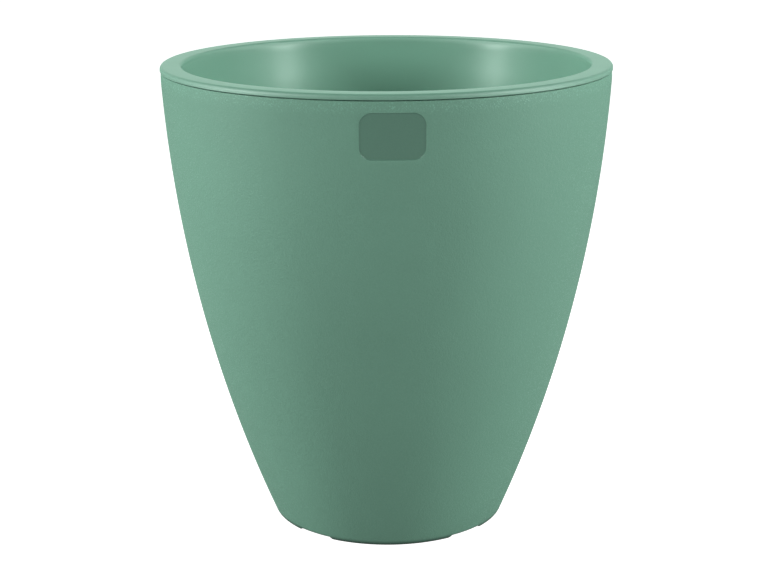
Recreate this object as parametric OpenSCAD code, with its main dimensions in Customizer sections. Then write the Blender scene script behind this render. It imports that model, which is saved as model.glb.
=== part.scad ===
// Florist bucket with a double wall: a grained outer shell that carries a smooth lift-out water liner.
// Millimetres. Origin at the centre of the foot ring on the ground, +Z up, the marking field faces -Y.

/* [Outline] */
// Outer diameter of the rim
rim_d = 320; // [290:5:350]
// Height from the ground to the top of the rim
total_h = 335; // [310:5:360]
// Diameter of the foot, where the wall would meet the ground
foot_d = 170; // [150:1:190]
// Radius of the arc that the outer wall follows from foot to rim
flare_r = 990; // [800:10:1400]

/* [Outer shell] */
// Thickness of the shell's wall
shell_t = 2.8; // [2.4:0.1:3.2]
// Thickness of the shell's floor
shell_floor_t = 2.8; // [2.4:0.1:3.6]
// Height of the shell floor's underside above the ground
shell_floor_z = 4; // [3:0.5:6]
// Radius that rounds the wall into the foot
foot_fillet_r = 2.4; // [1:0.1:3]
// Width of the foot ring's face on the ground
foot_ring_w = 5.5; // [4.5:0.5:8]
// Radius of the corner between the shell's wall and floor, on the inside
shell_corner_r = 4; // [2:0.5:6]
// Radius of the gentle shoulder that turns the shell's top edge inward
shoulder_r = 50; // [40:1:80]
// Height of that shoulder
shoulder_h = 5; // [3:0.1:8]

/* [Foot notches] */
// Angle round the foot from the front or the back to the middle of each of the four drain notches
notch_angle = 40; // [38:1:44]
// Height of a notch
notch_h = 2.4; // [1:0.1:3]
// Angle that a notch spans on the ground
notch_span = 21; // [12:1:26]
// Turn of the notches and the marking field about the axis
pattern_turn = 1.3; // [0:0.1:5]

/* [Marking field] */
// Width of the plain recessed field
field_w = 42; // [30:1:60]
// Height of the field
field_h = 30; // [20:1:40]
// Corner radius of the field
field_corner_r = 8; // [3:1:9]
// Depth of the field below the wall
field_depth = 0.4; // [0.2:0.1:0.8]
// Distance from the top of the rim down to the middle of the field
field_drop = 27; // [25:1:60]

/* [Floor ribs] */
// Number of radial ribs under the shell's floor
floor_rib_count = 8; // [4:1:12]
// Thickness of a floor rib
floor_rib_t = 2; // [1.6:0.1:3]
// Height of a floor rib
floor_rib_h = 1.8; // [1:0.1:1.8]
// Outer radius of the hub ring that the floor ribs run from
hub_r = 16; // [12:1:24]
// Radius of the moulding gate mark in the middle of each floor
gate_r = 4; // [2:0.5:6]
// Depth of a gate mark
gate_depth = 0.8; // [0.4:0.1:1.2]

/* [Seat ribs] */
// Number of upright ribs inside the shell's mouth that carry the liner
seat_rib_count = 8; // [6:1:12]
// Thickness of a seat rib
seat_rib_t = 2.4; // [1.6:0.1:3]
// Distance that the seat ribs reach in past the liner's skirt
seat_rib_reach = 2; // [1:0.1:3]

/* [Liner] */
// Thickness of the liner's wall
liner_t = 2.4; // [2:0.1:3]
// Thickness of the liner's floor
liner_floor_t = 3; // [2.4:0.1:4]
// Height of the liner floor's underside above the ground
liner_floor_z = 12; // [10:0.5:20]
// Outer radius where the liner's wall turns into its floor
liner_corner_r = 9; // [6:0.5:12]
// Height of the step in the liner's underside, which leaves a ring to stand on
liner_step_h = 1.2; // [0.6:0.1:1.6]
// Width of that standing ring
liner_ring_w = 6; // [4:0.5:8]

/* [Rim] */
// Width of the rim's flat top, from the mouth to the outer face
rim_w = 15.4; // [15:0.1:16]
// Height of the rim's outer face
rim_face_h = 3.8; // [3.4:0.1:4.4]
// Thickness of the rim's top
rim_t = 2.6; // [2.2:0.1:3]
// Width of the lip that turns down at the rim's outer edge
rim_lip_w = 2.6; // [2.2:0.1:3]
// Rounding of the rim's outer edge
rim_outer_r = 2.4; // [1:0.1:2.4]
// Rounding of the mouth's edge
mouth_r = 2.3; // [1:0.1:2.3]
// Clear gap between the rim and the shell's top edge
seam_gap = 0.6; // [0.4:0.1:1]
// Distance that the rim stands out past the shell's wall
rim_overhang = 0.15; // [0:0.05:0.6]
// Clearance between the locating skirt under the rim and the shell's wall
skirt_clear = 0.8; // [0.4:0.1:1.2]
// Thickness of the skirt
skirt_t = 2.4; // [2:0.1:2.6]
// Depth of the skirt below the rim's outer face
skirt_drop = 7.2; // [6:0.2:10]

/* [Hidden] */
$fn = 256;
shell_colour = [0.43, 0.57, 0.50];
liner_colour = [0.48, 0.64, 0.56];

rim_r = rim_d / 2;
foot_r = foot_d / 2;
rim_bottom = total_h - rim_face_h;
rim_under = total_h - rim_t;
shell_top = rim_bottom - seam_gap;
skirt_bottom = rim_bottom - skirt_drop;
shell_floor_top = shell_floor_z + shell_floor_t;
liner_floor_top = liner_floor_z + liner_floor_t;
liner_inset = rim_w - rim_overhang;
flare_c = arc_centre([foot_r, 0], [rim_r - rim_overhang, shell_top], flare_r);
skirt_r = flare_x(skirt_bottom, shell_t) - skirt_clear;
seat_rib_r = skirt_r - skirt_t - seat_rib_reach;
field_z = total_h - field_drop;
// Amount by which a rounding stops short of tangent, which leaves a clean edge at both its ends
edge_break = 0.1;
// The same for the long shoulder
shoulder_break = 0.02;
// Longer than any section is wide
reach = rim_d;
// Distance that a cut starts outside the face it opens
over = 1;

// Centre of the circle of radius r through the points p and q, on the left of the way from p to q.
function arc_centre(p, q, r) =
    let (way = q - p, rise = sqrt(r * r - way * way / 4))
    (p + q) / 2 + rise * [-way[1], way[0]] / norm(way);

// Radius of the flared wall at height z, measured inset below its outer face.
function flare_x(z, inset) = flare_c[0] + sqrt(pow(flare_r - inset, 2) - pow(z - flare_c[1], 2));

// Centre of a rounding of radius r between the flared wall and a floor at height z0.
function corner_c(inset, z0, r) =
    let (depth = r - edge_break)
    [flare_x(z0 + depth, inset + depth), z0 + depth];

// Filled section from the axis out to the flared wall, between two heights.
module flared_area(inset, z0, z1) {
    intersection() {
        translate(flare_c) circle(r = flare_r - inset);
        translate([0, z0]) square([reach, z1 - z0]);
    }
}

// What a rounding takes away: the quarter plane on the given side of its centre, less its disc.
module waste(centre, r, side_x, side_z) {
    translate(centre)
        difference() {
            translate([min(side_x, 0) * reach, min(side_z, 0) * reach]) square(reach);
            circle(r = r);
        }
}

// The filled section with its bottom corner rounded.
module cup_area(inset, z0, z1, corner_r) {
    difference() {
        flared_area(inset, z0, z1);
        waste(corner_c(inset, z0, corner_r), corner_r, 1, -1);
    }
}

// Section of the shell: rounded foot, flared wall, a shoulder that turns in at the top, and the floor.
module shell_section() {
    shoulder_z = shell_top - shoulder_h;
    shoulder_x = flare_x(shoulder_z, shoulder_r - shoulder_break);
    difference() {
        cup_area(0, 0, shell_top, foot_fillet_r);
        waste([shoulder_x, shoulder_z], shoulder_r, 1, 1);
        cup_area(shell_t, shell_floor_top, total_h, shell_corner_r);
        translate([-over, -over]) square([foot_r - foot_ring_w + over, shell_floor_z + over]);
    }
}

// Cut through the foot ring for one notch, with slanted ends.
module foot_notch() {
    half = foot_r * tan(notch_span / 2);
    translate([0, foot_ring_w + over - foot_r, 0])
        rotate([90, 0, 0])
            linear_extrude(height = rim_r)
                polygon([
                    [-half, -over],
                    [half, -over],
                    [half, 0],
                    [half - notch_h, notch_h],
                    [notch_h - half, notch_h],
                    [-half, 0]
                ]);
}

module foot_notches() {
    for (end = [0, 180], side = [-1, 1])
        rotate([0, 0, pattern_turn + end + side * notch_angle]) foot_notch();
}

// Radial ribs and their hub ring, rooted halfway into the shell's floor.
module floor_ribs() {
    rib_z = shell_floor_z - floor_rib_h;
    rib_end = foot_r - foot_ring_w / 2;
    rooted_h = floor_rib_h + shell_floor_t / 2;
    for (i = [0 : floor_rib_count - 1])
        rotate([0, 0, pattern_turn + (i + 0.5) * 360 / floor_rib_count])
            translate([hub_r - floor_rib_t / 2, -floor_rib_t / 2, rib_z])
                cube([rib_end - hub_r, floor_rib_t, rooted_h]);
    difference() {
        translate([0, 0, rib_z]) cylinder(r = hub_r, h = rooted_h);
        translate([0, 0, rib_z - over]) cylinder(r = hub_r - floor_rib_t, h = floor_rib_h + over);
    }
}

// Round recess in a floor's underside at height z.
module gate_mark(z) {
    translate([0, 0, z - over]) cylinder(r = gate_r, h = gate_depth + over);
}

// Upright ribs that grow out of the flared wall and end flat under the liner's skirt.
module seat_ribs() {
    for (i = [0 : seat_rib_count - 1])
        rotate([0, 0, pattern_turn + i * 360 / seat_rib_count])
            rotate([90, 0, 0])
                translate([0, 0, -seat_rib_t / 2])
                    linear_extrude(height = seat_rib_t)
                        intersection() {
                            flared_area(shell_t / 2, 0, skirt_bottom);
                            translate([seat_rib_r, 0]) square([reach, skirt_bottom]);
                        }
}

// Thin layer of the wall's surface that the marking field takes away.
module field_recess() {
    intersection() {
        rotate_extrude()
            difference() {
                flared_area(-over, field_z - field_h, shell_top - shoulder_h);
                flared_area(field_depth, field_z - field_h - over, shell_top);
            }
        rotate([0, 0, pattern_turn])
            translate([0, 0, field_z])
                rotate([90, 0, 0])
                    linear_extrude(height = rim_d)
                        rounded_rect(field_w, field_h, field_corner_r);
    }
}

module rounded_rect(w, h, r) {
    square([w - 2 * r, h], center = true);
    square([w, h - 2 * r], center = true);
    for (x = [-1, 1], y = [-1, 1])
        translate([x * (w / 2 - r), y * (h / 2 - r)]) circle(r = r);
}

module outer_shell() {
    color(shell_colour)
        difference() {
            union() {
                rotate_extrude() shell_section();
                floor_ribs();
                seat_ribs();
            }
            foot_notches();
            gate_mark(shell_floor_z);
            field_recess();
        }
}

// Flat rim over the wall's top, with its turned-down lip and the locating skirt, before rounding.
module rim_area() {
    translate([rim_r - rim_w - over, rim_under]) square([rim_w + over, rim_t]);
    translate([rim_r - rim_lip_w, rim_bottom]) square([rim_lip_w, rim_face_h]);
    translate([skirt_r - skirt_t, skirt_bottom]) square([skirt_t, rim_under + rim_t / 2 - skirt_bottom]);
}

module liner_section() {
    mouth_depth = mouth_r - edge_break;
    mouth_z = total_h - mouth_depth;
    edge_depth = rim_outer_r - edge_break;
    ring_x = corner_c(liner_inset, liner_floor_z, liner_corner_r)[0] - liner_ring_w;
    difference() {
        union() {
            cup_area(liner_inset - liner_t, liner_floor_z, rim_under + rim_t / 2, liner_corner_r);
            rim_area();
        }
        cup_area(liner_inset, liner_floor_top, total_h + over, liner_corner_r - liner_t);
        waste([flare_x(mouth_z, liner_inset - mouth_depth), mouth_z], mouth_r, -1, 1);
        waste([rim_r - edge_depth, total_h - edge_depth], rim_outer_r, 1, 1);
        translate([-over, liner_floor_z - over]) square([ring_x + over, liner_step_h + over]);
    }
}

module inner_liner() {
    color(liner_colour)
        difference() {
            rotate_extrude() liner_section();
            gate_mark(liner_floor_z + liner_step_h);
        }
}

outer_shell();
inner_liner();
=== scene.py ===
"""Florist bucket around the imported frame: a grained outer shell and a smooth lift-out liner.

Both mouldings are turned sections swept round the bucket's axis. The shell's sweep also carries its foot
notches, ribs and marking field. The shapes are drawn in millimetres and degrees, and skin() turns them into
metres. Materials, lights and the camera are in metres.
"""

from math import asin, atan2, cos, degrees, floor, pi, radians, sin, sqrt

import bmesh
import bpy
from mathutils import Matrix, Vector


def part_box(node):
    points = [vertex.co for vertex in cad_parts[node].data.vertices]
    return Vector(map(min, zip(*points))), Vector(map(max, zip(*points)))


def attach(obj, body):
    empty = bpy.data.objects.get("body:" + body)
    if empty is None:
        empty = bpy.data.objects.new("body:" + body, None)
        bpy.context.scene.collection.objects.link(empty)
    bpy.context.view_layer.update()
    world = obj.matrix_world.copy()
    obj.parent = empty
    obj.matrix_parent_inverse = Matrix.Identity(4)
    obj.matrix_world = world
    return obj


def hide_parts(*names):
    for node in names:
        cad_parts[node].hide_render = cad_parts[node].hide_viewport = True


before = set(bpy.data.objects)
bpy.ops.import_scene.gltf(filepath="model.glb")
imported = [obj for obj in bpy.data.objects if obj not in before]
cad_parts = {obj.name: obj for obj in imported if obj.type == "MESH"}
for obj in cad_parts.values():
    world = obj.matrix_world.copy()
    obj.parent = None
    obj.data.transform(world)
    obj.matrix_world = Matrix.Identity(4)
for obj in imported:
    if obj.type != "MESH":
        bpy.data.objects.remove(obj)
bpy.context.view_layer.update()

# ---------------------------------------------------------------- sizes, as in the design

MM = 0.001

# the meshes: lines round the axis, how far apart rows stand on a plain wall, and the angle that makes an
# edge sharp
COLUMNS = 360
WALL_PITCH = 6.0
CREASE_ANGLE = 32

RIM_R = round(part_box("inner_liner")[1][0] / MM)
TOTAL_H = round(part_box("inner_liner")[1][2] / MM, 1)
SHELL_TOP = round(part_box("outer_shell")[1][2] / MM, 1)

FOOT_R = 85.0
FLARE_R = 990.0
PATTERN_TURN = 1.3

SHELL_T = 2.8
SHELL_FLOOR = (4.0, 6.8)
SHELL_CORNER_R = 4.0
SHELL_MOUTH_H = 3.0
FOOT_FILLET_R = 2.4
FOOT_RING_R = FOOT_R - 5.5
SHOULDER_R = 50.0
SHOULDER_H = 5.0

# the notches' slanted ends spread as much as they rise; centres count from the pattern's zero
NOTCH_H = 2.4
NOTCH_HALF = 15.754
NOTCH_CENTRES = (50.0, 130.0, 230.0, 310.0)

FLOOR_RIB_T = 2.0
FLOOR_RIB_Z = 2.2
HUB_R = 16.0
GATE_R = 4.0
GATE_DEPTH = 0.8

# the rounding at the ring's inner lower edge: how far out and how high each of its points lies
RING_EDGE = ((0.0, 0.4), (0.12, 0.12), (0.4, 0.0))

SEAT_RIB_T = 2.4
SEAT_RIB_TOP = TOTAL_H - 11.0
SEAT_RIB_REACH = 2.0
RIB_PITCH = 45.0

FIELD_W = 42.0
FIELD_H = 30.0
FIELD_CORNER_R = 8.0
FIELD_DEPTH = 0.4
FIELD_Z = 308.0
FIELD_ANGLE = 270.0

LINER_T = 2.4
LINER_INSET = 15.25
LINER_FLOOR = (12.0, 15.0)
LINER_CORNER_R = 9.0
LINER_STEP_H = 1.2
LINER_RING_W = 6.0

RIM_T = 2.6
RIM_BOTTOM = TOTAL_H - 3.8
RIM_LIP_W = 2.6
RIM_OVERHANG = 0.15
RIM_OUTER_R = 2.4
MOUTH_R = 2.3
SKIRT_T = 2.4
SKIRT_CLEAR = 0.8

# roundings of the small edges: gates, lips and steps, and where the liner's wall, skirt and rim meet
GATE_EDGE_R = 0.3
EDGE_R = 0.4
SKIRT_ROOT_R = 0.5
WALL_ROOT_R = 1.2
RIM_LOWER_R = 0.35
SHELL_LIP_R = (0.5, 0.6)

# materials' places in a piece's slots
GRAIN, SMOOTH, POLISHED = 0, 1, 2


# ---------------------------------------------------------------- sections

def arc_centre():
    """Centre (r, z) of the wall's arc through the foot and the shell's top."""
    foot, top = Vector((FOOT_R, 0.0)), Vector((RIM_R - RIM_OVERHANG, SHELL_TOP))
    way = top - foot
    rise = sqrt(FLARE_R ** 2 - way.length_squared / 4)
    return (foot + top) / 2 + rise * Vector((-way.y, way.x)).normalized()


FLARE_C = arc_centre()


def wall_r(z, inset=0.0):
    """Radius of the flared wall at height z, measured inset below its outer face."""
    return FLARE_C.x + sqrt((FLARE_R - inset) ** 2 - (z - FLARE_C.y) ** 2)


def wall_height(r, inset):
    """Height at which the wall, inset below its outer face, has radius r."""
    return FLARE_C.y - sqrt((FLARE_R - inset) ** 2 - (r - FLARE_C.x) ** 2)


def wall_tilt(z, inset=0.0):
    """Angle of the wall's outward normal above the horizontal, in degrees."""
    return degrees(asin((z - FLARE_C.y) / (FLARE_R - inset)))


def arc(centre, r, start, end, steps):
    """Points on a circle from start to end, both included."""
    return [
        (centre[0] + r * cos(radians(a)), centre[1] + r * sin(radians(a)))
        for a in spread(start, end, steps)
    ]


SKIRT_R = wall_r(SEAT_RIB_TOP, SHELL_T) - SKIRT_CLEAR
SEAT_RIB_R = SKIRT_R - SKIRT_T - SEAT_RIB_REACH


def spread(low, high, steps):
    """steps + 1 even values from low to high."""
    return [low + (high - low) * i / steps for i in range(steps + 1)]


def corner(points, r, steps=6):
    """The middle one of three points, rounded by an arc of radius r."""
    before, tip, after = (Vector(p) for p in points)
    to_before, to_after = (before - tip).normalized(), (after - tip).normalized()
    half = to_before.angle(to_after) / 2
    centre = tip + (to_before + to_after).normalized() * r / sin(half)
    first = tip + to_before * r / (sin(half) / cos(half))
    last = tip + to_after * r / (sin(half) / cos(half))
    start = degrees(atan2(first.y - centre.y, first.x - centre.x))
    end = degrees(atan2(last.y - centre.y, last.x - centre.x))
    turn = (end - start + 180) % 360 - 180
    return arc(centre, r, start, start + turn, steps)


def rounded(path):
    """A path of (r, z, rounding) points with its corners rounded; 0 leaves one sharp."""
    points = []
    for i, (r, z, rounding) in enumerate(path):
        if rounding:
            points += corner([path[i - 1][:2], (r, z), path[i + 1][:2]], rounding)
        else:
            points.append((r, z))
    return points


def wall_points(inset, z0, z1, pitch):
    """Points up the wall between two heights, a given pitch apart."""
    steps = max(1, round(abs(z1 - z0) / pitch))
    return [(wall_r(z, inset), z) for z in spread(z0, z1, steps)]


def floor_corner(inset, floor_z, r, steps=8):
    """Points of the rounding between a floor and the wall, from the floor up."""
    z = floor_z + r
    return arc((wall_r(z, inset + r), z), r, -90, wall_tilt(z, inset + r), steps)


# ---------------------------------------------------------------- skins

def skin(name, verts, faces, slots, materials):
    """A closed smooth-shaded piece from points in millimetres. Faces with no width are merged away."""
    mesh = bpy.data.meshes.new(name)
    mesh.from_pydata([Vector(v) * MM for v in verts], [], faces)
    for polygon, slot in zip(mesh.polygons, slots):
        polygon.material_index = slot
    for material in materials:
        mesh.materials.append(material)
    bm = bmesh.new()
    bm.from_mesh(mesh)
    bmesh.ops.remove_doubles(bm, verts=bm.verts, dist=1e-6)
    bmesh.ops.dissolve_degenerate(bm, edges=bm.edges, dist=1e-7)
    bmesh.ops.recalc_face_normals(bm, faces=bm.faces)
    for face in bm.faces:
        face.smooth = True
    for edge in bm.edges:
        edge.smooth = len(edge.link_faces) == 2 and edge.calc_face_angle(0) < radians(CREASE_ANGLE)
    bm.to_mesh(mesh)
    bm.free()
    piece = bpy.data.objects.new(name, mesh)
    bpy.context.scene.collection.objects.link(piece)
    return piece


def lathe(rows, columns, place, slot_of, skip=lambda i, j: False):
    """Points, faces and slots of a closed sweep with a pole at both ends.

    Row i at column j stands at place(row, column). slot_of gives the slot of the faces above row i, and skip
    leaves out the face between them and the next row and column."""
    count = len(columns)
    verts = [place(row, column) for row in rows for column in columns]
    faces, slots = [], []
    for i in range(len(rows) - 1):
        for j in range(count):
            if skip(i, j):
                continue
            k = (j + 1) % count
            faces.append((i * count + j, i * count + k, (i + 1) * count + k, (i + 1) * count + j))
            slots.append(slot_of(i))
    return verts, faces, slots


def around(r, z, angle):
    """Point at a radius, a height and an angle about the axis."""
    turned = radians(angle)
    return (r * cos(turned), r * sin(turned), z)


# ---------------------------------------------------------------- liner

def liner_piece(materials):
    """The liner, swept from the middle of its underside round the rim to the middle of its well."""
    floor_under, floor_top = LINER_FLOOR
    gate_top = floor_under + LINER_STEP_H + GATE_DEPTH
    base = floor_corner(LINER_INSET - LINER_T, floor_under, LINER_CORNER_R)
    ring_x = base[0][0] - LINER_RING_W
    rim_under = TOTAL_H - RIM_T
    wall_out = wall_r(rim_under, LINER_INSET - LINER_T)
    mouth_z = TOTAL_H - MOUTH_R
    mouth_c = (wall_r(mouth_z, LINER_INSET - MOUTH_R), mouth_z)
    well = floor_corner(LINER_INSET, floor_top, LINER_CORNER_R - LINER_T)
    under = rounded([
        (0, gate_top, 0),
        (GATE_R, gate_top, GATE_EDGE_R),
        (GATE_R, floor_under + LINER_STEP_H, GATE_EDGE_R),
        (ring_x, floor_under + LINER_STEP_H, EDGE_R),
        (ring_x, floor_under, EDGE_R),
        (*base[0], 0),
    ])
    outside = wall_points(LINER_INSET - LINER_T, base[-1][1], rim_under - 2, WALL_PITCH)
    rim = rounded([
        (*outside[-1], 0),
        (wall_out, rim_under, WALL_ROOT_R),
        (SKIRT_R - SKIRT_T, rim_under, SKIRT_ROOT_R),
        (SKIRT_R - SKIRT_T, SEAT_RIB_TOP, EDGE_R),
        (SKIRT_R, SEAT_RIB_TOP, EDGE_R),
        (SKIRT_R, rim_under, SKIRT_ROOT_R),
        (RIM_R - RIM_LIP_W, rim_under, EDGE_R),
        (RIM_R - RIM_LIP_W, RIM_BOTTOM, EDGE_R),
        (RIM_R, RIM_BOTTOM, RIM_LOWER_R),
        (RIM_R, TOTAL_H, RIM_OUTER_R),
        (mouth_c[0], TOTAL_H, 0),
    ])
    mouth = arc(mouth_c, MOUTH_R, 90, 180 + wall_tilt(mouth_z, LINER_INSET), 8)
    inside = wall_points(LINER_INSET, mouth[-1][1], well[-1][1], WALL_PITCH)
    rows = under + base[1:] + outside[1:] + rim[1:] + mouth[1:] + inside[1:]
    rows += well[-2::-1] + [(0, floor_top)]
    columns = spread(0, COLUMNS - 1, COLUMNS - 1)
    verts, faces, slots = lathe(rows, columns, lambda row, angle: around(*row, angle), lambda i: 0)
    return skin("liner_moulding", verts, faces, slots, materials)


# ---------------------------------------------------------------- shell

# the stretch of wall round the marking field that its own rings of points fill
BLOCK_MARGIN = 2.5
BLOCK_TOP_MARGIN = 0.8
BLOCK_COLUMNS = 48
BLOCK_HALF = degrees(asin((FIELD_W / 2 + BLOCK_MARGIN) / wall_r(FIELD_Z)))
BLOCK_Z = (FIELD_Z - FIELD_H / 2 - BLOCK_MARGIN, FIELD_Z + FIELD_H / 2 + BLOCK_TOP_MARGIN)
BLOCK_PITCH = 1.0

# how near a plain column may stand to others, in degrees, in the block and elsewhere
BLOCK_GAP = 0.15
PLAIN_GAP = 0.4

# a notch's lines: steps on each slanted end and from there inward, how far from the middle the last ones
# stand, and in how many steps its width is kept free of plain columns
NOTCH_END_STEPS = 4
NOTCH_INNER_STEPS = 7
NOTCH_MIDDLE = 2.0
NOTCH_FREE_STEPS = 30


def notch_height(r, angle):
    """Height to which the foot ring is cut away at a place. Angles count from the pattern's zero."""
    off = min(abs((angle - centre + 180) % 360 - 180) for centre in NOTCH_CENTRES)
    return min(max(NOTCH_HALF - abs(r * sin(radians(off))), 0.0), NOTCH_H)


class Column:
    """One upright line of the shell's sweep. Its angle counts from the pattern's zero.

    Over a notch it keeps its distance across from the notch's middle on the foot ring, so that the notch's
    sides stay parallel. A rib's side is a pair of lines, one on the rib and one beside it."""

    def __init__(self, angle, rib=None, order=0):
        self.angle, self.rib, self.order = angle, rib, order
        self.centre = min(NOTCH_CENTRES, key=lambda centre: abs(angle - centre))
        self.across = wall_r(NOTCH_H) * sin(radians(angle - self.centre))
        self.in_notch = abs(self.across) <= NOTCH_HALF + 1e-6

    def on_foot(self, r):
        """Its angle at radius r on the foot ring or outside it."""
        if not self.in_notch:
            return self.angle
        held = min(max(r, FOOT_RING_R), wall_r(NOTCH_H))
        return self.centre + degrees(asin(self.across / held))

    def under_floor(self, r):
        """Its angle at radius r under the floor, where the floor ribs' sides stay parallel."""
        outer = degrees(asin(FLOOR_RIB_T / 2 / FOOT_RING_R))
        inner = degrees(asin(FLOOR_RIB_T / 2 / max(r, HUB_R - FLOOR_RIB_T)))
        angle = self.on_foot(FOOT_RING_R)
        rib = (floor(angle / RIB_PITCH) + 0.5) * RIB_PITCH
        off = angle - rib
        if abs(off) <= outer + 1e-6:
            return rib + off * inner / outer
        half = RIB_PITCH / 2
        share = (abs(off) - outer) / (half - outer)
        return rib + (inner + share * (half - inner)) * (1 if off > 0 else -1)


def notch_columns():
    """Lines over each notch, closer together on its slanted ends."""
    held = wall_r(NOTCH_H)
    slant = spread(NOTCH_HALF, NOTCH_HALF - NOTCH_H, NOTCH_END_STEPS)
    lines = slant + spread(NOTCH_HALF - NOTCH_H, NOTCH_MIDDLE, NOTCH_INNER_STEPS)[1:]
    return [
        Column(centre + side * degrees(asin(across / held)))
        for centre in NOTCH_CENTRES for across in lines for side in (-1, 1)
    ]


def rib_columns(kind, first, half):
    """For each rib of a kind: a pair at either side and one in the middle."""
    lines = []
    for k in range(round(360 / RIB_PITCH)):
        middle = first + k * RIB_PITCH
        lines += [
            Column(middle - half),
            Column(middle - half, kind, 1),
            Column(middle, kind),
            Column(middle + half, kind),
            Column(middle + half, order=1),
        ]
    return lines


def shell_columns():
    """All upright lines, in turn round the axis. Plain ones fill in where no other line is near."""
    seat_half = degrees(asin(SEAT_RIB_T / 2 / wall_r(SEAT_RIB_TOP, SHELL_T)))
    floor_half = degrees(asin(FLOOR_RIB_T / 2 / FOOT_RING_R))
    lines = notch_columns()
    lines += rib_columns("seat", 0.0, seat_half)
    lines += rib_columns("floor", RIB_PITCH / 2, floor_half)
    taken = [line.angle for line in lines]
    field = spread(FIELD_ANGLE - BLOCK_HALF, FIELD_ANGLE + BLOCK_HALF, BLOCK_COLUMNS)
    plain = [angle for angle in field if clear_of(angle, taken, BLOCK_GAP)]
    taken += field
    notch_half = degrees(asin(NOTCH_HALF / FOOT_RING_R))
    taken += [c + a for c in NOTCH_CENTRES for a in spread(-notch_half, notch_half, NOTCH_FREE_STEPS)]
    plain += [angle for angle in spread(0, COLUMNS - 1, COLUMNS - 1) if clear_of(angle, taken, PLAIN_GAP)]
    lines += [Column(angle) for angle in plain]
    return sorted(lines, key=lambda line: (line.angle % 360, line.order))


def clear_of(angle, others, gap):
    """Whether an angle is more than a gap away from all others."""
    return all(abs((angle - other + 180) % 360 - 180) > gap for other in others)


class Row:
    """One ring of the shell's sweep. rib_r and rib_z say how far a rib stands out of it there."""

    def __init__(self, r, z, zone, slot, rib_r=None, rib_z=None):
        self.r, self.z, self.zone, self.slot = r, z, zone, slot
        self.rib_r, self.rib_z = rib_r, rib_z


def shell_rows():
    """All rings, from the middle of the underside round the top edge to the middle of the floor inside."""
    floor_z, floor_top = SHELL_FLOOR
    foot = floor_corner(0, 0, FOOT_FILLET_R, 7)
    shoulder_z = SHELL_TOP - SHOULDER_H
    shoulder_c = (wall_r(shoulder_z, SHOULDER_R), shoulder_z)
    shoulder_end = degrees(asin((SHELL_TOP - shoulder_z) / SHOULDER_R))
    shoulder = arc(shoulder_c, SHOULDER_R, 0, shoulder_end, 8)
    lip = rounded([
        (*shoulder[-2], 0),
        (*shoulder[-1], SHELL_LIP_R[0]),
        (wall_r(SHELL_TOP, SHELL_T), SHELL_TOP, SHELL_LIP_R[1]),
        (wall_r(SHELL_TOP - SHELL_MOUTH_H, SHELL_T), SHELL_TOP - SHELL_MOUTH_H, 0),
    ])
    inner_foot = floor_corner(SHELL_T, floor_top, SHELL_CORNER_R)
    rib_foot = wall_height(SEAT_RIB_R, SHELL_T)

    def under(r, z, rib_z=None):
        return Row(r, z, "under", SMOOTH, rib_z=rib_z)

    def inside(r, z, rib=True):
        return Row(r, z, "inside", SMOOTH, rib_r=SEAT_RIB_R if rib else None)

    rows = [under(0, floor_z + GATE_DEPTH), under(GATE_R, floor_z + GATE_DEPTH), under(GATE_R, floor_z)]
    rows += [under(HUB_R - FLOOR_RIB_T, floor_z)]
    rows += [under(r, FLOOR_RIB_Z) for r in (HUB_R - FLOOR_RIB_T, HUB_R)]
    rows += [under(r, floor_z, FLOOR_RIB_Z) for r in (HUB_R, FOOT_RING_R)]
    rows += [Row(FOOT_RING_R, NOTCH_H, "foot", SMOOTH)]
    rows += [Row(FOOT_RING_R + out, z, "foot", SMOOTH) for out, z in RING_EDGE]
    rows += [Row(r, z, "foot", GRAIN) for r, z in foot]
    rows += [Row(wall_r(NOTCH_H), NOTCH_H, "foot", GRAIN)]
    rows += [Row(r, z, "wall", GRAIN) for r, z in wall_points(0, NOTCH_H, BLOCK_Z[0], WALL_PITCH)[1:]]
    rows += [Row(r, z, "block", GRAIN) for r, z in wall_points(0, *BLOCK_Z, BLOCK_PITCH)[1:]]
    rows += [Row(r, z, "wall", GRAIN) for r, z in shoulder[:-2]]
    rows += [Row(r, z, "wall", GRAIN) for r, z in lip]
    above_ribs = wall_points(SHELL_T, SHELL_TOP - SHELL_MOUTH_H, SEAT_RIB_TOP, 1.5)
    rows += [inside(r, z, False) for r, z in above_ribs[1:]]
    rows += [inside(r, z) for r, z in wall_points(SHELL_T, SEAT_RIB_TOP, rib_foot, WALL_PITCH)]
    below_ribs = wall_points(SHELL_T, rib_foot, inner_foot[-1][1], WALL_PITCH)
    rows += [inside(r, z, False) for r, z in below_ribs[1:]]
    rows += [inside(r, z, False) for r, z in inner_foot[-2::-1]]
    rows += [inside(0, floor_top, False)]
    return rows


def shell_point(row, column):
    """Where a row and a column of the shell meet."""
    if row.zone == "under":
        z = row.rib_z if column.rib == "floor" and row.rib_z else row.z
        return around(row.r, z, PATTERN_TURN + column.under_floor(row.r))
    if row.zone == "inside":
        r = min(row.r, row.rib_r) if column.rib == "seat" and row.rib_r else row.r
        return around(r, row.z, PATTERN_TURN + column.angle)
    angle = column.on_foot(row.r)
    z = max(row.z, notch_height(row.r, angle)) if row.zone == "foot" else row.z
    return around(row.r, z, PATTERN_TURN + angle)


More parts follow.
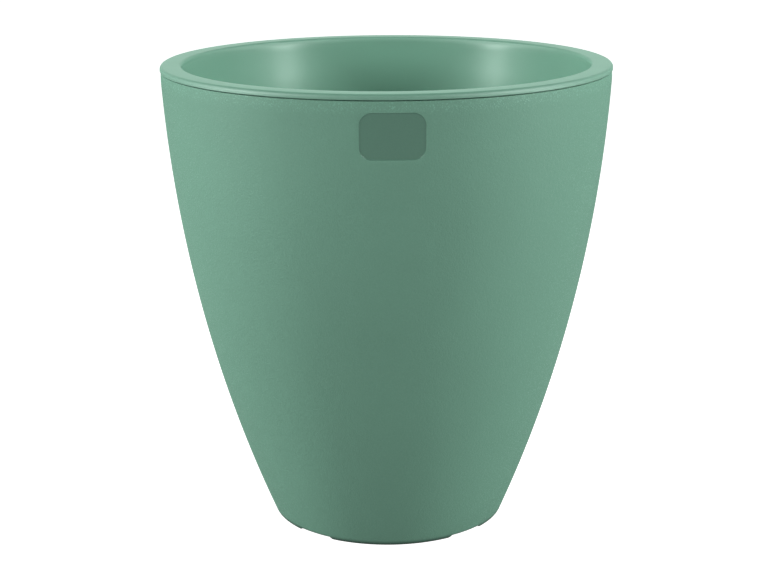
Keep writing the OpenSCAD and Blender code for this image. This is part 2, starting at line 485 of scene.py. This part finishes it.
def field_outline(side, share, grow):
    """Point on the field's outline, grown all round, a share of the way along one of its sides.

    A side runs between the middles of two rounded corners. Their order is bottom, right, top, left."""
    half_w, half_h = FIELD_W / 2 + grow, FIELD_H / 2 + grow
    r = max(FIELD_CORNER_R + grow, 0.0)
    along, out = (half_w, half_h) if side % 2 == 0 else (half_h, half_w)
    straight = along - r
    length = 2 * (straight + r * pi / 4)
    s = (share - 0.5) * length
    if abs(s) <= straight or r == 0:
        x, y = min(max(s, -along), along), out
    else:
        turned = (abs(s) - straight) / r
        x, y = (straight + r * sin(turned)) * (1 if s > 0 else -1), out - r + r * cos(turned)
    return [(x, -y), (y, x), (-x, y), (-y, -x)][side]


def field_point(u, v, depth):
    """Point of the marking field, u across and v up from its middle, a depth below the wall."""
    z = FIELD_Z + v
    tilt = radians(wall_tilt(z))
    r = wall_r(z)
    angle = FIELD_ANGLE + degrees(asin(u / r))
    return around(r - depth * cos(tilt), z - depth * sin(tilt), PATTERN_TURN + angle)


# rings of the field: how far each lies outside its outline, and how deep; then shares of the last one
FIELD_EDGE = [(0.35, 0.0), (0.2, 0.05), (0.07, 0.16), (-0.07, 0.28), (-0.2, 0.37), (-0.35, 0.4)]
FIELD_INNER = [(-0.8, 0.4), (-2.0, 0.4), (-4.5, 0.4), (-7.9, 0.4)]
FIELD_SCALES = (0.66, 0.33)
GRAIN_RINGS = 2


def field_patch(rim):
    """Rings of points in to the field's middle, matching the block's rim, a list of (side, share)."""
    rings = [
        [field_point(*field_outline(side, share, grow), depth) for side, share in rim]
        for grow, depth in FIELD_EDGE + FIELD_INNER
    ]
    last = FIELD_INNER[-1][0]
    for scale in FIELD_SCALES:
        ring = [field_outline(side, share, last) for side, share in rim]
        rings.append([field_point(u * scale, v * scale, FIELD_DEPTH) for u, v in ring])
    return rings


def shell_piece(materials):
    """The shell, swept like the liner, with the wall round the marking field filled in by rings."""
    columns, rows = shell_columns(), shell_rows()
    block_rows = [i for i, row in enumerate(rows) if row.zone == "block"]
    low, high = block_rows[0] - 1, block_rows[-1]
    block_columns = [j for j, c in enumerate(columns) if abs(c.angle - FIELD_ANGLE) <= BLOCK_HALF + 1e-6]
    left, right = block_columns[0], block_columns[-1]

    def skip(i, j):
        return low <= i < high and left <= j < right

    def slot_of(i):
        return min(rows[i].slot, rows[i + 1].slot)

    verts, faces, slots = lathe(rows, columns, shell_point, slot_of, skip)

    # the block's rim, once round from its lower left corner, and the matching place on the outline
    count = len(columns)
    angles = [column.angle for column in columns]

    def share(value, start, end):
        return (value - start) / (end - start)

    heights = [row.z for row in rows]
    rim = [
        (low * count + j, 0, share(angles[j], angles[left], angles[right])) for j in range(left, right)
    ]
    rim += [
        (i * count + right, 1, share(heights[i], heights[low], heights[high])) for i in range(low, high)
    ]
    rim += [
        (high * count + j, 2, share(angles[j], angles[right], angles[left]))
        for j in range(right, left, -1)
    ]
    rim += [
        (i * count + left, 3, share(heights[i], heights[high], heights[low]))
        for i in range(high, low, -1)
    ]
    outer = [index for index, _, _ in rim]
    rings = field_patch([(side, along) for _, side, along in rim])
    for number, ring in enumerate(rings):
        start = len(verts)
        verts += ring
        inner = list(range(start, start + len(ring)))
        for k in range(len(inner)):
            n = (k + 1) % len(inner)
            faces.append((outer[k], outer[n], inner[n], inner[k]))
            slots.append(GRAIN if number < GRAIN_RINGS else POLISHED)
        outer = inner
    middle = len(verts)
    verts.append(field_point(0, 0, FIELD_DEPTH))
    for k in range(len(outer)):
        faces.append((outer[k], outer[(k + 1) % len(outer)], middle))
        slots.append(POLISHED)
    return skin("shell_moulding", verts, faces, slots, materials)


# ---------------------------------------------------------------- materials

class Graph:
    """Short ways to add and link the nodes of one material."""

    def __init__(self, name):
        self.material = bpy.data.materials.new(name)
        self.material.use_nodes = True
        self.tree = self.material.node_tree
        self.shader = self.tree.nodes["Principled BSDF"]
        self.place = self.add("ShaderNodeTexCoord").outputs["Object"]

    def add(self, kind, **settings):
        node = self.tree.nodes.new(kind)
        for name, value in settings.items():
            setattr(node, name, value)
        return node

    def link(self, source, target):
        self.tree.links.new(source, target)

    def noise(self, scale, detail=2.0, roughness=0.5, stretch=None):
        """Noise with features of about 1 / scale metres, optionally stretched along an axis."""
        node = self.add("ShaderNodeTexNoise")
        node.inputs["Scale"].default_value = scale
        node.inputs["Detail"].default_value = detail
        node.inputs["Roughness"].default_value = roughness
        place = self.place
        if stretch:
            mapping = self.add("ShaderNodeMapping")
            mapping.inputs["Scale"].default_value = stretch
            self.link(place, mapping.inputs["Vector"])
            place = mapping.outputs["Vector"]
        self.link(place, node.inputs["Vector"])
        return node.outputs["Fac"]

    def height(self):
        """Height above the ground in metres."""
        node = self.add("ShaderNodeSeparateXYZ")
        self.link(self.place, node.inputs["Vector"])
        return node.outputs["Z"]

    def radius(self):
        """Distance from the bucket's axis in metres."""
        flat = self.add("ShaderNodeMapping")
        flat.inputs["Scale"].default_value = (1.0, 1.0, 0.0)
        self.link(self.place, flat.inputs["Vector"])
        node = self.add("ShaderNodeVectorMath", operation="LENGTH")
        self.link(flat.outputs["Vector"], node.inputs[0])
        return node.outputs["Value"]

    def to_range(self, value, from_low, from_high, to_low, to_high):
        """A value taken from one range to another, and held at its ends."""
        node = self.add("ShaderNodeMapRange")
        node.inputs["From Min"].default_value = from_low
        node.inputs["From Max"].default_value = from_high
        node.inputs["To Min"].default_value = to_low
        node.inputs["To Max"].default_value = to_high
        self.link(value, node.inputs["Value"])
        return node.outputs["Result"]

    def math(self, operation, a, b):
        """Sum, product or the like of two values or sockets."""
        node = self.add("ShaderNodeMath", operation=operation)
        for socket, value in zip(node.inputs, (a, b)):
            if isinstance(value, (int, float)):
                socket.default_value = value
            else:
                self.link(value, socket)
        return node.outputs["Value"]

    def blend(self, amount, a, b):
        """Colour that goes from a to b with amount."""
        node = self.add("ShaderNodeMix", data_type="RGBA")
        self.link(amount, node.inputs["Factor"])
        for socket, colour in ((node.inputs["A"], a), (node.inputs["B"], b)):
            if isinstance(colour, bpy.types.NodeSocket):
                self.link(colour, socket)
            else:
                socket.default_value = (*colour, 1.0)
        return node.outputs["Result"]

    def bump(self, height, distance, below=None):
        """Normal bent by a height of a given depth, on top of another normal."""
        node = self.add("ShaderNodeBump")
        node.inputs["Distance"].default_value = distance
        self.link(height, node.inputs["Height"])
        if below is not None:
            self.link(below, node.inputs["Normal"])
        return node.outputs["Normal"]

    def finish(self, colour, roughness, normal, specular):
        """The material, with its shader's inputs linked and set."""
        shader = self.shader
        self.link(colour, shader.inputs["Base Color"])
        self.link(roughness, shader.inputs["Roughness"])
        self.link(normal, shader.inputs["Normal"])
        shader.inputs["Specular IOR Level"].default_value = specular
        shader.inputs["Specular Tint"].default_value = (*GLOSS_TINT, 1.0)
        shader.inputs["IOR"].default_value = PLASTIC_IOR
        return self.material


# the plastic's linear colour and the tint of its gloss, the liner's brightness against the shell's (painted
# light: the liner is painted paler so that the inside of the bucket reads brighter), the field's brightness
# against the shell's, how far each drifts, and the refractive index
SAGE = (0.125, 0.265, 0.195)
GLOSS_TINT = (0.85, 1.0, 0.93)
LINER_PAINTED_TONE = 1.36
FIELD_TONE = 0.7
DRIFT = 0.05
PLASTIC_IOR = 1.49

# noise features per metre and bump depths in metres: the grain, then the peel of smooth faces and the field
PIT_SCALE, PIT_DEPTH = 1100.0, 0.0002
LUMP_SCALE, LUMP_DEPTH = 420.0, 0.00015
WAVE_SCALE, WAVE_DEPTH = 14.0, 0.0006
PEEL_SCALE, PEEL_DEPTH = 130.0, 0.00002
FIELD_PEEL_SCALE, FIELD_PEEL_DEPTH = 200.0, 0.00003

# roughness: pits and tips of the grain, smooth faces, what rubbing adds on the rim's edge, the polished field
GRAIN_ROUGH = (0.72, 0.30)
SMOOTH_ROUGH = (0.285, 0.30)
RUBBED_ROUGH = 0.25
FIELD_ROUGH = (0.16, 0.24)


def metres(*lengths):
    """Lengths in metres, from millimetres."""
    return tuple(length * MM for length in lengths)


# heights over which each begins or ends: painted shade on the foot, painted sparkle on the shoulder, the
# rim's rubbed edge
FOOT_SHADE_Z = metres(1.6, 4.2)
SHOULDER_Z = metres(TOTAL_H - 14.0, TOTAL_H - 9.0)
RIM_EDGE_LOW_Z = metres(TOTAL_H - 4.0, TOTAL_H - 2.5)
RIM_EDGE_HIGH_Z = metres(TOTAL_H - 1.2, TOTAL_H - 0.1)

# radii over which the painted shade on the rim's outer side begins
RIM_SIDE_SHADE_R = metres(RIM_R - 2.2, RIM_R - 1.0)

# brightness against a face's own: painted shade on the foot, painted sparkle on the shoulder's grain tips,
# rubbed edges, painted shade on the rim's outer side
FOOT_SHADE_TONE = 0.33
SPARKLE_TONE = 1.8
RUBBED_TONE = 1.7
RIM_SIDE_SHADE_TONE = 0.8

# how far the painted sparkle takes the shoulder's grain tips to their brighter tone
SPARKLE_SHARE = 0.4


def shade(colour, factor):
    """A colour made brighter or darker by a factor."""
    return tuple(channel * factor for channel in colour)


def worn_colour(graph, colour, rub, mottled=0.05):
    """The plastic's colour: slow drift of shade, fine mottling, and paler where edges are rubbed."""
    drift = graph.to_range(graph.noise(7.0, 3.0), 0.35, 0.65, 0.0, 1.0)
    tone = graph.blend(drift, shade(colour, 1 - DRIFT), shade(colour, 1 + DRIFT))
    mottle = graph.to_range(graph.noise(900.0, 2.0), 0.3, 0.7, 0.0, 1.0)
    fine = graph.blend(mottle, shade(colour, 1 - mottled), shade(colour, 1 + mottled))
    both = graph.add("ShaderNodeMix", data_type="RGBA")
    both.inputs["Factor"].default_value = 0.5
    graph.link(tone, both.inputs["A"])
    graph.link(fine, both.inputs["B"])
    edge = graph.add("ShaderNodeNewGeometry").outputs["Pointiness"]
    patchy = graph.to_range(graph.noise(60.0, 4.0), 0.35, 0.75, 0.0, 1.0)
    worn = graph.math("MULTIPLY", graph.to_range(edge, 0.52, 0.6, 0.0, rub), patchy)
    return graph.blend(worn, both.outputs["Result"], shade(colour, RUBBED_TONE))


def grained_plastic():
    """Matt plastic with a fine spark-eroded grain, whose highest points are rubbed glossy. Its colour carries
    painted shade on the foot and a painted sparkle on the shoulder's grain tips.
    """
    graph = Graph("grained_plastic")
    pits = graph.noise(PIT_SCALE, 2.0, 0.6)
    lumps = graph.noise(LUMP_SCALE, 2.0)
    waves = graph.bump(graph.noise(WAVE_SCALE, 2.0), WAVE_DEPTH)
    coarse = graph.bump(lumps, LUMP_DEPTH, waves)
    fine = graph.bump(pits, PIT_DEPTH, coarse)
    tips = graph.to_range(pits, 0.56, 0.64, 0.0, 1.0)
    roughness = graph.to_range(tips, 0.0, 1.0, *GRAIN_ROUGH)
    # painted shade: the foot's lowest few millimetres are darkened where its contact shadow falls
    foot_shade = graph.to_range(graph.height(), *FOOT_SHADE_Z, 1.0, 0.0)
    foot_shaded = graph.blend(foot_shade, worn_colour(graph, SAGE, 0.5), shade(SAGE, FOOT_SHADE_TONE))
    # painted sparkle: grain tips in the shoulder band are brightened where highlights glint
    painted_sparkle = graph.to_range(graph.height(), *SHOULDER_Z, 0.0, SPARKLE_SHARE)
    colour = graph.blend(graph.math("MULTIPLY", painted_sparkle, tips), foot_shaded, shade(SAGE, SPARKLE_TONE))
    return graph.finish(colour, roughness, fine, 0.4)


def smooth_plastic(name, tone):
    """Semi-gloss moulded plastic with a faint orange peel and fine rubbing. Its colour carries painted shade
    on the outermost radii, the rim's outer side.
    """
    graph = Graph(name)
    peel = graph.noise(PEEL_SCALE, 2.0)
    rub = graph.noise(60.0, 2.0, 0.5, (1.0, 1.0, 3.0))
    normal = graph.bump(peel, PEEL_DEPTH)
    moulded = graph.to_range(rub, 0.3, 0.7, *SMOOTH_ROUGH)
    above = graph.to_range(graph.height(), *RIM_EDGE_LOW_Z, 0.0, RUBBED_ROUGH)
    below = graph.to_range(graph.height(), *RIM_EDGE_HIGH_Z, 1.0, 0.0)
    roughness = graph.math("ADD", moulded, graph.math("MULTIPLY", above, below))
    # painted shade: the outermost radii, the rim's outer side, are darkened
    outer = graph.to_range(graph.radius(), *RIM_SIDE_SHADE_R, 0.0, 1.0)
    clean = worn_colour(graph, shade(SAGE, tone), 0.6, 0.015)
    colour = graph.blend(outer, clean, shade(SAGE, RIM_SIDE_SHADE_TONE * tone))
    return graph.finish(colour, roughness, normal, 1.0)


def polished_plastic():
    """The marking field's polished face."""
    graph = Graph("polished_plastic")
    peel = graph.noise(FIELD_PEEL_SCALE, 2.0)
    roughness = graph.to_range(graph.noise(500.0, 3.0), 0.3, 0.7, *FIELD_ROUGH)
    colour = worn_colour(graph, shade(SAGE, FIELD_TONE), 0.2)
    return graph.finish(colour, roughness, graph.bump(peel, FIELD_PEEL_DEPTH), 0.5)


# ---------------------------------------------------------------- the object

shell_faces = [grained_plastic(), smooth_plastic("smooth_shell_plastic", 1.0), polished_plastic()]

shell = shell_piece(shell_faces)
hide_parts("outer_shell")
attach(shell, "shell")

# painted light: the liner's paler colour brightens the inside of the bucket
liner = liner_piece([smooth_plastic("liner_plastic", LINER_PAINTED_TONE)])
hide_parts("inner_liner")
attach(liner, "liner")


# ---------------------------------------------------------------- floor, light and camera

def pale_floor():
    """Plain sweep that reads as near white and throws only a little light back up."""
    bm = bmesh.new()
    bmesh.ops.create_grid(bm, x_segments=1, y_segments=1, size=FLOOR_SIZE)
    mesh = bpy.data.meshes.new("floor")
    bm.to_mesh(mesh)
    bm.free()
    ground = bpy.data.objects.new("floor", mesh)
    bpy.context.scene.collection.objects.link(ground)
    graph = Graph("floor_paint")
    tone = graph.blend(graph.noise(3.0), *FLOOR_TONES)
    graph.link(tone, graph.shader.inputs["Base Color"])
    graph.shader.inputs["Roughness"].default_value = 0.9
    graph.shader.inputs["Specular IOR Level"].default_value = 0.0
    graph.shader.inputs["Emission Color"].default_value = (1, 1, 1, 1)
    seen = graph.add("ShaderNodeLightPath").outputs["Is Camera Ray"]
    graph.link(graph.to_range(seen, 0.0, 1.0, 0.0, FLOOR_GLOW), graph.shader.inputs["Emission Strength"])
    mesh.materials.append(graph.material)


def softbox(name, azimuth, elevation, distance, width, height, power):
    """Area light aimed at the bucket's middle, with its distance and size in metres and its power in watts.

    Azimuth counts from the front, positive to the right."""
    data = bpy.data.lights.new(name, "AREA")
    data.shape = "RECTANGLE"
    data.size, data.size_y = width, height
    data.energy = power
    light = bpy.data.objects.new(name, data)
    aim = Vector((0, 0, TOTAL_H * MM / 2))
    turn, lift = radians(azimuth), radians(elevation)
    way = Vector((sin(turn) * cos(lift), -cos(turn) * cos(lift), sin(lift)))
    light.location = aim + way * distance
    light.rotation_euler = (-way).to_track_quat("-Z", "Y").to_euler()
    light.visible_camera = False
    bpy.context.scene.collection.objects.link(light)


def softbox_pair(name, azimuth, *rest):
    """Two of the same area lights, one on either side."""
    for side, label in ((-1, "left"), (1, "right")):
        softbox(f"{name}_{label}", side * azimuth, *rest)


def white_room(glow):
    """World that looks white, and lights the object from a pale green backdrop behind it."""
    world = bpy.data.worlds.new("white_room")
    bpy.context.scene.world = world
    world.use_nodes = True
    nodes, links = world.node_tree.nodes, world.node_tree.links
    back = nodes["Background"]
    seen = nodes.new("ShaderNodeLightPath").outputs["Is Camera Ray"]
    colour = nodes.new("ShaderNodeMix")
    colour.data_type = "RGBA"
    colour.inputs["A"].default_value = (*BACKDROP_TINT, 1.0)
    colour.inputs["B"].default_value = (1, 1, 1, 1)
    links.new(seen, colour.inputs["Factor"])
    links.new(colour.outputs["Result"], back.inputs["Color"])
    direction = nodes.new("ShaderNodeSeparateXYZ")
    links.new(nodes.new("ShaderNodeTexCoord").outputs["Generated"], direction.inputs["Vector"])
    behind = nodes.new("ShaderNodeMapRange")
    for name, value in (("From Min", 0.2), ("From Max", 0.95), ("To Max", glow)):
        behind.inputs[name].default_value = value
    links.new(direction.outputs["Y"], behind.inputs["Value"])
    level = nodes.new("ShaderNodeMath")
    level.operation = "MAXIMUM"
    links.new(behind.outputs["Result"], level.inputs[0])
    links.new(seen, level.inputs[1])
    links.new(level.outputs["Value"], back.inputs["Strength"])


def camera():
    """Camera a little above the rim, with the small roll of the view."""
    data = bpy.data.cameras.new("camera")
    data.lens, data.sensor_width = 78.2, 36.0
    view = bpy.data.objects.new("camera", data)
    aim = Vector((-0.0010, 0, 0.1664))
    distance, elevation, roll = 1.2366, radians(15.21), radians(-0.28)
    way = Vector((0, -cos(elevation), sin(elevation)))
    view.location = aim + way * distance
    look = (-way).to_track_quat("-Z", "Y").to_matrix().to_4x4()
    view.rotation_euler = (look @ Matrix.Rotation(roll, 4, "Z")).to_euler()
    bpy.context.scene.collection.objects.link(view)
    bpy.context.scene.camera = view


# half the floor's width in metres, its greys, how bright it looks by itself, and the backdrop's light
FLOOR_SIZE = 6.0
FLOOR_TONES = (0.42, 0.42, 0.42), (0.44, 0.44, 0.44)
FLOOR_GLOW = 1.0
BACKDROP = 0.95
BACKDROP_TINT = (0.72, 1.0, 0.86)

pale_floor()
white_room(BACKDROP)

# the lights: name, azimuth, elevation, distance, width, height and power
softbox("strip_left", -70, 17, 2.6, 0.3, 0.7, 40)
softbox("strip_right", 64, 17, 2.6, 0.3, 0.7, 36)
softbox_pair("side", 90, 28, 2.6, 1.5, 1.8, 22.5)
softbox_pair("front", 40, 30, 2.6, 0.8, 0.8, 10.2)
softbox_pair("low", 82, -0.5, 2.4, 0.6, 0.28, 9)
camera()

scene = bpy.context.scene
scene.view_settings.view_transform = "Standard"
scene.view_settings.look = "None"
